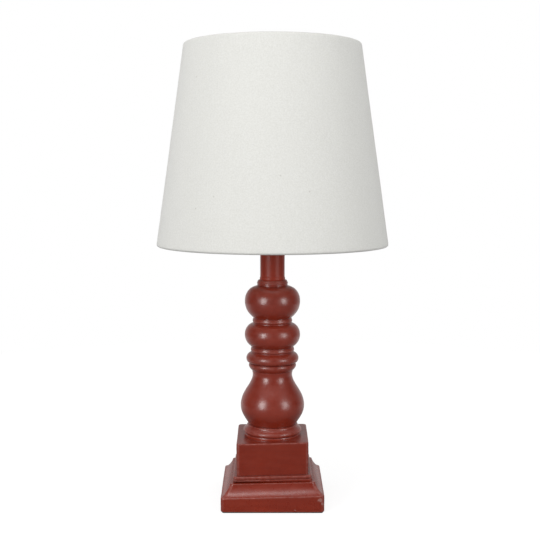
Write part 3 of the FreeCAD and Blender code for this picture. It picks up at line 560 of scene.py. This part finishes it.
def smooth_curve(points, steps):
    """Natural cubic spline by chord length: between two points the bend changes evenly from the one's
    value to the other's, and it is nought at both ends."""
    p = np.asarray(points, float)
    h = np.linalg.norm(np.diff(p, axis=0), axis=1)
    slope = np.diff(p, axis=0) / h[:, None]
    i = np.arange(1, len(p) - 1)
    system = np.eye(len(p))
    system[i, i - 1], system[i, i], system[i, i + 1] = h[:-1], 2 * (h[:-1] + h[1:]), h[1:]
    right = np.zeros_like(p)
    right[1:-1] = 6 * np.diff(slope, axis=0)
    bend = np.linalg.solve(system, right)
    start = np.concatenate([[0], np.cumsum(h)])
    s = np.linspace(0, start[-1], steps)
    k = np.clip(np.searchsorted(start, s, "right") - 1, 0, len(p) - 2)
    u, hk = (s - start[k])[:, None], h[k][:, None]
    return (p[k] + u * (slope[k] - hk * (2 * bend[k] + bend[k + 1]) / 6)
            + u ** 2 * bend[k] / 2 + u ** 3 * (bend[k + 1] - bend[k]) / (6 * hk))


def outline(start, *steps, samples=24):
    """Runs on from start: a step is (r, z) for a line, two points for an arc through the first, or a
    list of points for a smooth curve."""
    pieces = [np.array([start], float)]
    for step in steps:
        here = tuple(pieces[-1][-1])
        if isinstance(step, list):
            pieces.append(smooth_curve([here] + step, samples * len(step)))
        elif isinstance(step[0], tuple):
            pieces.append(three_point_arc(here, step[0], step[1], samples))
        else:
            pieces.append(np.array([here, step], float))
    return np.concatenate(pieces)


def even(points, spacing):
    """The same line with points at equal distances along it."""
    run = np.concatenate([[0], np.cumsum(np.linalg.norm(np.diff(points, axis=0), axis=1))])
    keep = np.concatenate([[True], np.diff(run) > 1e-9])
    s = np.linspace(0, run[-1], int(run[-1] / spacing) + 1)
    return np.stack([np.interp(s, run[keep], points[keep, k]) for k in (0, 1)], axis=-1)


def soften(points, spacing, blur):
    """Weighted mean with the neighbours along the line, the weights a bell curve of width blur."""
    reach = int(3 * blur / spacing) + 1
    weight = np.exp(-0.5 * (np.arange(-reach, reach + 1) * spacing / blur) ** 2)
    weight /= weight.sum()
    before = 2 * points[0] - points[reach:0:-1]
    after = 2 * points[-1] - points[-2:-reach - 2:-1]
    padded = np.concatenate([before, points, after])
    return np.stack([np.convolve(padded[:, k], weight, "valid") for k in (0, 1)], axis=-1)


def bends(points, spacing, blur=0.5):
    """How strongly the line turns to the left, which is outwards on these profiles, and to the right,
    which is in a hollow; each from 0 to 1. A turn of 0.9 radians per millimetre is a full edge."""
    way = np.gradient(points, axis=0)
    angle = np.unwrap(np.arctan2(way[:, 1], way[:, 0]))
    turn = np.gradient(angle) / spacing
    turn = soften(np.stack([turn, turn], axis=-1), spacing, blur)[:, 0]
    return np.clip(turn / 0.9, 0, 1), np.clip(-turn / 0.8 - 0.1, 0, 1)


# %% [markdown]
# The mesh also stores the numbers that steer the finish, such as how rubbed each point is with its painted
# glint, and where painted shade falls in grooves and on rolled hems, and it rides on the body that its
# piece belongs to.

# %% Meshes from grids
def surface(name, grid, body, material, wrap_rows=False, caps=False, uv=None, wear_and_painted_light=None):
    """Four-cornered faces over a grid of points (rows, columns, 3). Columns always close round the axis."""
    rows, columns = grid.shape[:2]
    r, c = np.meshgrid(np.arange(rows if wrap_rows else rows - 1), np.arange(columns), indexing="ij")
    r, c = r.ravel(), c.ravel()
    up, on = (r + 1) % rows, (c + 1) % columns
    faces = [r * columns + c, r * columns + on, up * columns + on, up * columns + c]
    faces = np.stack(faces, axis=-1).tolist()
    if caps:
        faces.append(list(range(columns))[::-1])
        faces.append(list(range((rows - 1) * columns, rows * columns)))
    mesh = bpy.data.meshes.new(name)
    mesh.from_pydata(grid.reshape(-1, 3).tolist(), [], faces)
    mesh.shade_smooth()
    if uv is not None:
        layer = mesh.uv_layers.new(name="flat_cut")
        corners = np.stack([uv[r, c], uv[r, c + 1], uv[r + 1, c + 1], uv[r + 1, c]], axis=1)
        layer.data.foreach_set("uv", corners.astype(np.float32).ravel())
    for kind, value in (wear_and_painted_light or {}).items():
        store = mesh.attributes.new(kind, "FLOAT", "POINT")
        value = np.broadcast_to(value, grid.shape[:2]).astype(np.float32)
        store.data.foreach_set("value", value.ravel())
    mesh.materials.append(material)
    made = bpy.data.objects.new(name, mesh)
    bpy.context.scene.collection.objects.link(made)
    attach(made, body)
    print(f"{name}: {len(mesh.vertices)} points, {len(mesh.polygons)} faces")
    return made


# %% [markdown]
# The column is one turning. Going up from the block it has a thin disc, a rim with a hollow above it, a
# vase, a collar, a fat ring, then two flattened balls parted by thin rings, and a bead under the neck.
# A lathe surface is the natural form: radius and height along the profile, turned through a full circle.
# A real turning isn't perfect, so each radius is off by a few hundredths of a millimetre.

# %% Turned column
column_low, column_high = (v.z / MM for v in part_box("turned_column"))
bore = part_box("lamp_pipe")[1].x / MM + 0.6      # 0.6 mm clear of the pipe
groove = 0.5            # from the collar to the fat ring
skirt = 1.6             # how far the turning reaches down into the block
vase_shape = [(0, 26.2), (6.9, 30.8), (13.8, 34.3), (20.6, 35.5), (29.7, 33.9), (37.7, 30.0), (44.6, 25.7),
              (51.4, 22.6), (55.4, 21.9), (59.2, 22.5)]
collar_shape = [(1.4, 22.9), (4.0, 25.3), (6.9, 26.3), (8.9, 25.6)]
torus_shape = [(0, 24.9), (2.1, 28.1), (4.8, 29.0), (9.0, 27.8), (11.9, 23.9)]
low_ball = [(0, 23.3), (4.4, 27.8), (13.4, 30.7), (20.1, 29.1), (24.6, 25.0), (26.0, 21.6)]
high_ball = [(0, 21.3), (6.6, 27.3), (18.8, 30.6), (27.8, 28.2), (32.3, 24.1), (35.3, 17.1)]
row_step = 0.38
paint_blur = 0.24
column_sides = 96
turning_wobble = 0.035


def lifted(shape, z):
    """(rise, radius) pairs as (radius, height) points that start at height z."""
    return [(radius, z + rise) for rise, radius in shape]


def thin_ring(z, radius):
    """A small lip, a groove and a half-round ring."""
    inner = radius - 0.9
    steps = [((radius - 0.25, z + 0.5), (radius - 0.5, z + 0.9)), (inner, z + 1.1), (inner, z + 1.3),
             [(radius - 0.1, z + 2.1), (radius, z + 3.0), (radius - 0.25, z + 4.5), (inner - 0.2, z + 6.5)]]
    return steps, z + 6.5


def column_profile():
    """The foot is a thin disc, a fat roll and a hollow that ends in a small bead; the top is a lip and a
    round-shouldered bead."""
    z = column_low
    steps = [((31.35, z + 0.9), (31.0, z + 1.7)), (30.8, z + 1.9), (30.8, z + 2.2),
             ((32.4, z + 4.5), (31.5, z + 6.9)), ((29.7, z + 8.5), (28.4, z + 10.1)),
             ((28.1, z + 11.1), (26.5, z + 11.9))]
    z += 12.0
    steps += [(vase_shape[0][1], z), lifted(vase_shape[1:], z)]
    z += vase_shape[-1][0]
    steps += [(22.5, z + 1.2), (collar_shape[0][1], z + collar_shape[0][0]), lifted(collar_shape[1:], z)]
    z += collar_shape[-1][0]
    steps += [(24.7, z + 0.3), (torus_shape[0][1], z + groove), lifted(torus_shape[1:], z + groove)]
    ring, z = thin_ring(z + groove + torus_shape[-1][0], 24.1)
    steps += ring + [(low_ball[0][1], z), lifted(low_ball[1:], z)]
    ring, z = thin_ring(z + low_ball[-1][0], 22.0)
    steps += ring + [(high_ball[0][1], z), lifted(high_ball[1:], z)]
    z += high_ball[-1][0]
    steps += [(16.5, z), ((16.9, z + 0.9), (16.5, z + 1.8)), ((17.1, z + 3.1), (16.5, z + 4.4)),
              ((15.9, column_high - 0.6), (14.6, column_high))]
    return outline((31.1, column_low - skirt), (31.1, column_low), *steps)


def turned_grid(profile, sides, wobble):
    """Point = (radius cos, radius sin, height); the wobble is a sum of slow waves round and up."""
    angle = np.linspace(0, 2 * np.pi, sides, endpoint=False)
    radius, height = profile[:, :1], profile[:, 1:]
    off = wobble * (np.sin(2 * angle + 0.05 * height) + 0.6 * np.sin(5 * angle - 0.11 * height + 1)
                    + 0.5 * np.sin(0.83 * height))
    around = np.stack([np.cos(angle), np.sin(angle)], axis=-1)
    flat = (radius + off)[..., None] * around[None]
    return np.concatenate([flat, np.broadcast_to(height, off.shape)[..., None]], axis=-1) * MM


profile = soften(even(column_profile(), row_step), row_step, paint_blur)
# the outward bends steer the rubbing with its painted glint, the inward ones the painted shade in grooves
rubbed_and_glint, hollow = (np.append(bend, [0, 0])[:, None] for bend in bends(profile, row_step))
closing = np.array([(bore, column_high), (bore, column_low - skirt)])
rows = np.concatenate([profile, closing])
grid = turned_grid(rows, column_sides, turning_wobble)
column = surface("column_turning", grid, "lamp_body", column_paint, wrap_rows=True,
                 wear_and_painted_light={"rubbing_and_glint": rubbed_and_glint, "hollow": hollow})
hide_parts("turned_column")

# %% [markdown]
# The foot is a square slab with a hollow moulding running round it, and a square block stands on it with
# a small band and a bead round its foot. The same lathe idea works for a square: each row of the profile
# gives a half width, and the plan is a square of that half width with rounded corners. The edges of the
# real one aren't ruler straight: they wave a little, the whole leans by a quarter of a degree, and the
# upper corner at the front left sits about 2 mm low.

# %% Square mouldings
side_points = 22
corner_points = 9


def square_plan():
    """For each column the place on a unit square and the direction of the rounded corner."""
    along = np.linspace(-1, 1, side_points)
    turn = np.linspace(0, np.pi / 2, corner_points + 2)[1:-1]
    place = np.concatenate([np.stack([np.ones_like(along), along], -1), np.ones((corner_points, 2))])
    lean = np.concatenate([np.tile([1.0, 0.0], (side_points, 1)),
                           np.stack([np.cos(turn), np.sin(turn)], -1)])
    quarter = np.array([[0, 1], [-1, 0]])
    places, leans = [], []
    for _ in range(4):
        places.append(place)
        leans.append(lean)
        place, lean = place @ quarter, lean @ quarter
    return np.concatenate(places), np.concatenate(leans)


def moulded_grid(profile, corner, wave, lean, droop, full_rise):
    """Point = (half width - corner) x place on the square + corner x direction, then a slow wave, a lean
    to one side that grows from nothing at the bottom, and a droop of the front left upper corner."""
    place, direction = square_plan()
    half = profile[:, :1, None]
    height = np.broadcast_to(profile[:, 1:], (len(profile), len(place)))
    flat = (half - corner) * place[None] + corner * direction[None]
    x, y = flat[..., 0], flat[..., 1]
    ripple = wave * (np.sin(0.11 * x + 0.07 * y + 0.4 * height) + 0.7 * np.sin(0.23 * y - 0.19 * x + 1.7)
                     + 0.5 * np.sin(0.9 * height + 0.05 * x))
    flat = flat + ripple[..., None] * direction[None]
    rise = height - profile[0, 1]
    reach = profile[:, 0].max()
    corner_share = (0.5 - 0.5 * x / reach) * (0.5 - 0.5 * y / reach)
    tilt = (lean * x - droop * corner_share) * np.clip(rise / full_rise, 0, 1)
    return np.concatenate([flat, (height + tilt)[..., None]], axis=-1) * MM


def corner_rub_and_glint(rubbed_and_glint):
    """Rubbing and its painted glint along the edges of the profile and at the four upright corners, the
    higher of the two.
    """
    _, direction = square_plan()
    rounded = np.clip(2.2 * np.abs(direction[:, 0] * direction[:, 1]), 0, 1) * 0.8
    return np.maximum(rubbed_and_glint[:, None], rounded[None])


def cut_away(piece, cutters, sides=72):
    """Takes solid cylinders out of a closed piece. Each is (radius, from, to), from and to on its axis."""
    for k, (radius, start, end) in enumerate(cutters):
        start, end = np.array(start, float), np.array(end, float)
        way = (end - start) / np.linalg.norm(end - start)
        side = np.cross(way, [0, 0, 1]) if abs(way[2]) < 0.9 else np.array([1.0, 0, 0])
        other = np.cross(way, side)
        angle = np.linspace(0, 2 * np.pi, sides, endpoint=False)[:, None]
        ring = radius * (np.cos(angle) * side + np.sin(angle) * other)
        points = np.concatenate([start + ring, end + ring])
        n = len(angle)
        faces = [[i, (i + 1) % n, n + (i + 1) % n, n + i] for i in range(n)]
        faces += [list(range(n))[::-1], list(range(n, 2 * n))]
        mesh = bpy.data.meshes.new(f"cutter_{k}")
        mesh.from_pydata(points.tolist(), [], faces)
        cutter = bpy.data.objects.new(f"cutter_{k}", mesh)
        bpy.context.scene.collection.objects.link(cutter)
        hole = piece.modifiers.new(f"hole_{k}", "BOOLEAN")
        hole.operation = "DIFFERENCE"
        hole.solver = "EXACT"
        hole.object = cutter
        bpy.context.view_layer.update()
        graph = bpy.context.evaluated_depsgraph_get()
        shape = bpy.data.meshes.new_from_object(piece.evaluated_get(graph))
        piece.modifiers.clear()
        piece.data = shape
        bpy.data.objects.remove(cutter)


# %% [markdown]
# The two profiles, in millimetres, start from the heights and the half width of the construction pieces.
# The slab's runs up its flat face and over the hollow moulding, and the block's over band and bead to
# its top. Then the nut's recess and the cord's hole are cut into the slab, and the pipe's through both.

# %% Slab and block
slab_low, slab_high = (v.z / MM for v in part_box("base_slab"))
slab_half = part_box("base_slab")[1].x / MM
block_low, block_high = (v.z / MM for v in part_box("plinth_block"))
moulding_step = 0.30
moulding_blur = 0.22
edge_wave = 0.05
foot_lean = 0.004       # rise per millimetre to the right
slab_droop, slab_corner = 2.4, 4.0
block_droop, block_corner = 2.0, 3.5
recess_r, recess_deep, cord_r = 0.038, 0.015, 0.0055        # metres, as all sizes of cutters

slab_profile = outline(
    (slab_half - 0.4, slab_low),
    (slab_half, slab_low + 0.4),
    (slab_half, slab_low + 16.9),
    ((slab_half - 0.4, slab_low + 17.5), (slab_half - 1.4, slab_low + 17.8)),
    ((49.5, slab_low + 22.7), (46.2, slab_high - 1.0)),
    (46.2, slab_high),
    (41.0, slab_high),
)
block_profile = outline(
    (43.1, block_low),
    (43.1, block_low + 2.9),
    (42.2, block_low + 2.9),
    (42.2, block_low + 3.4),
    (42.7, block_low + 3.4),
    (42.7, block_low + 5.0),
    ((42.3, block_low + 6.0), (41.3, block_low + 6.4)),
    (39.2, block_low + 6.4),
    (39.2, block_high - 1.0),
    ((38.9, block_high - 0.3), (38.2, block_high)),
    (33.0, block_high),
)
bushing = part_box("cord_bushing")
bushing_height = (bushing[0].z + bushing[1].z) / 2
recess = (recess_r, (0, 0, slab_low * MM - 0.001), (0, 0, slab_low * MM + recess_deep))
passage = (bore * MM, (0, 0, 0), (0, 0, block_high * MM + 0.01))
cord_way = (cord_r, (0, 0.03, bushing_height), (0, 0.08, bushing_height))
# the last number is the height above the bottom, in millimetres, where lean and droop are whole
for name, shape, node, made, cutters, corner, droop, full_rise in (
        ("foot_slab", slab_profile, "base_slab", slab_paint, [recess, passage, cord_way],
         slab_corner, slab_droop, 14.0),
        ("foot_block", block_profile, "plinth_block", block_paint, [passage],
         block_corner, block_droop, 1.0)):
    profile = soften(even(shape, moulding_step), moulding_step, moulding_blur)
    profile[:, 1] = np.clip(profile[:, 1], shape[0, 1], shape[-1, 1])
    # the outward bends steer the rubbing with its painted glint, the inward ones the painted shade in
    # grooves
    rubbed_and_glint, hollow = bends(profile, moulding_step)
    wear_and_painted_light = {"rubbing_and_glint": corner_rub_and_glint(rubbed_and_glint), "hollow": hollow[:, None]}
    grid = moulded_grid(profile, corner, edge_wave, foot_lean, droop, full_rise)
    grid[..., 2] = np.clip(grid[..., 2], shape[0, 1] * MM, None)
    piece = surface(name, grid, "lamp_body", made, caps=True, wear_and_painted_light=wear_and_painted_light)
    cut_away(piece, cutters)
    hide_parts(node)

# %% [markdown]
# The shade's cloth goes round a stiff cone and is rolled over a wire ring at each rim. It is one thin
# closed skin: out over the face, round the top ring, back on to the lining, then down inside against
# the lining to the bottom ring and round it. The cloth is joined at the back with a lap 10 mm wide,
# which stands out by nearly one thickness. The face has the slight unevenness of glued cloth.

# %% Shade shape
shade_low, shade_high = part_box("shade_cover")
rim_dip = 0.33          # the lower rim is rolled inwards, where the slope takes it this much lower
shade_bottom, shade_top = shade_low.z / MM + rim_dip, shade_high.z / MM
cloth, lining_thick, ring_wire, hem_gap = 0.5, 0.6, 1.5, 0.35
hem_turn = math.radians(200)
hem_steps = 14
tilt = math.atan2(shade_bottom_r - shade_top_r, shade_top - shade_bottom)
slant = math.hypot(shade_bottom_r - shade_top_r, shade_top - shade_bottom)
hem_r = ring_wire + hem_gap
lap_width = 10.0
lap_half = lap_width / 2 / shade_bottom_r
lap_lift = 0.35
wave_size = 0.8
face_ease = 0.15        # the face lies this much further in at half height
print("slant", round(slant, 1), "mm, leaning", round(math.degrees(tilt), 1), "degrees")


def shade_place(depth, along):
    """(radius, height) of a point depth inside the face and along up the slope from the bottom edge."""
    return np.stack([shade_bottom_r - along * math.sin(tilt) - depth * math.cos(tilt),
                     shade_bottom + along * math.cos(tilt) - depth * math.sin(tilt)], axis=-1)


def hem_rows(radius, first, last, low):
    """Rows round a rim ring; the angle is 0 on the face and grows under the ring to the inside."""
    angle = np.linspace(first, last, hem_steps)
    depth = cloth + hem_r - radius * np.cos(angle)
    along = cloth + hem_r - radius * np.sin(angle)
    return depth, along if low else slant - along


def landing(radius):
    """Where the tail of the hem meets the lining, as (depth, distance from the rim)."""
    slope = hem_turn - math.pi
    rest = cloth + lining_thick
    run = (cloth + hem_r + radius * math.cos(slope) - rest) / math.sin(slope)
    return rest, cloth + hem_r + radius * math.sin(slope) + run * math.cos(slope)


def shade_angles():
    """Columns round the shade, closer together at the lap in the middle of the back."""
    edge = np.array([-1.08, -1.0, -0.92, 0.92, 1.0, 1.08]) * lap_half
    back = np.pi / 2
    rest = np.linspace(lap_half * 1.5, 2 * np.pi - lap_half * 1.5, 188)
    return np.sort(np.concatenate([back + rest, back + edge % (2 * np.pi)]))


# %% [markdown]
# Each row of the cover is a depth inside the face and a way up the slope. Turning the rows round the
# axis gives the skin; only the rows of the face wave, and only they stand out at the lap.

# %% Linen cover
def cover_rows():
    """(depth, along) for each row, out over the face, round the top, down inside, round the bottom."""
    face = np.linspace(cloth + hem_r, slant - cloth - hem_r, 64)
    depth, along = [np.zeros_like(face)], [face]
    d, a = hem_rows(hem_r + cloth, 0, hem_turn, False)
    depth.append(d[1:])
    along.append(a[1:])
    for radius in (hem_r + cloth, hem_r):
        d, a = landing(radius)
        depth.append([d])
        along.append([slant - a])
    d, a = hem_rows(hem_r, hem_turn, 0, False)
    inner = np.linspace(slant - cloth - hem_r, cloth + hem_r, 24)[1:-1]
    depth += [d, np.full_like(inner, cloth)]
    along += [a, inner]
    d, a = hem_rows(hem_r, 0, hem_turn, True)
    depth.append(d)
    along.append(a)
    for radius in (hem_r, hem_r + cloth):
        d, a = landing(radius)
        depth.append([d])
        along.append([a])
    d, a = hem_rows(hem_r + cloth, hem_turn, 0, True)
    depth.append(d[:-1])
    along.append(a[:-1])
    return np.concatenate(depth), np.concatenate(along)


def shade_grid(depth, along, angle, lift):
    """Turns the slope profile round the axis; lift moves a point out from the face."""
    place = shade_place(depth[:, None] - lift, along[:, None] + np.zeros_like(lift))
    radius, height = place[..., 0], place[..., 1]
    return np.stack([radius * np.cos(angle), radius * np.sin(angle), height], axis=-1) * MM


def glued_cloth(along, angle):
    """How far out the cloth lies: slow waves round the face and up it, none at the rims, plus the lap at
    the back, which stands out by nearly one thickness."""
    share = np.clip(np.sin(np.pi * np.clip(along / slant, 0, 1)), 0, 1)[:, None]
    turn = angle[None]
    waves = (0.16 * np.sin(3 * turn + 0.6) + 0.10 * np.sin(7 * turn + along[:, None] / 31)
             + 0.05 * np.sin(17 * turn - along[:, None] / 12 + 2))
    from_back = np.abs((angle - np.pi / 2 + np.pi) % (2 * np.pi) - np.pi)
    lap = lap_lift * np.clip((1.04 * lap_half - from_back) / (0.08 * lap_half), 0, 1)
    return share * (wave_size * waves - face_ease) + lap[None]


def flat_cut(along, angle):
    """Place in the flat cut, in metres: the cone unrolled about its tip, so the angle shrinks by the
    sine of the cone's lean."""
    from_tip = shade_bottom_r / math.sin(tilt) - along
    wound = np.append(angle, angle[0] + 2 * np.pi)[None] - 1.5 * np.pi
    turn = wound * math.sin(tilt)
    return np.stack([from_tip[:, None] * np.sin(turn), -from_tip[:, None] * np.cos(turn)], axis=-1) * MM


angle = shade_angles()
depth, along = cover_rows()
on_face = (depth < cloth * 0.5).astype(float)[:, None]
lift = glued_cloth(along, angle) * on_face
grid = shade_grid(depth, along, angle, lift)
travelled = np.concatenate([along, along[:1]])
# painted shade: more the deeper the cloth lies under the face, which is on the rolled hems
hem_shade_amount = np.clip((depth - 0.15) / 0.9, 0, 1)[:, None]
cover = surface("shade_linen", grid, "shade", linen_finish, wrap_rows=True,
                uv=flat_cut(travelled, angle), wear_and_painted_light={"hem_shade": hem_shade_amount})
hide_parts("shade_cover")

# %% [markdown]
# The lining is a plain cone of stiff white sheet that ends where the hems begin.

# %% Lining
def lining_rows():
    """(depth, along) up the outer side of the lining, then down its inner side."""
    start = cloth + 2 * hem_r
    out = np.linspace(start, slant - start, 40)
    depth = np.concatenate([np.full_like(out, cloth + 0.02), np.full_like(out, cloth + lining_thick)])
    return depth, np.concatenate([out, out[::-1]])


depth, along = lining_rows()
grid = shade_grid(depth, along, angle, np.zeros((len(depth), len(angle))))
lining = surface("shade_lining", grid, "shade", lining_finish, wrap_rows=True)
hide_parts("shade_liner")

# %% [markdown]
# The picture has the plain colour response of a product shot, so the view transform is the standard one
# and nothing else is changed.

# %% Finish
bpy.context.scene.view_settings.view_transform = "Standard"
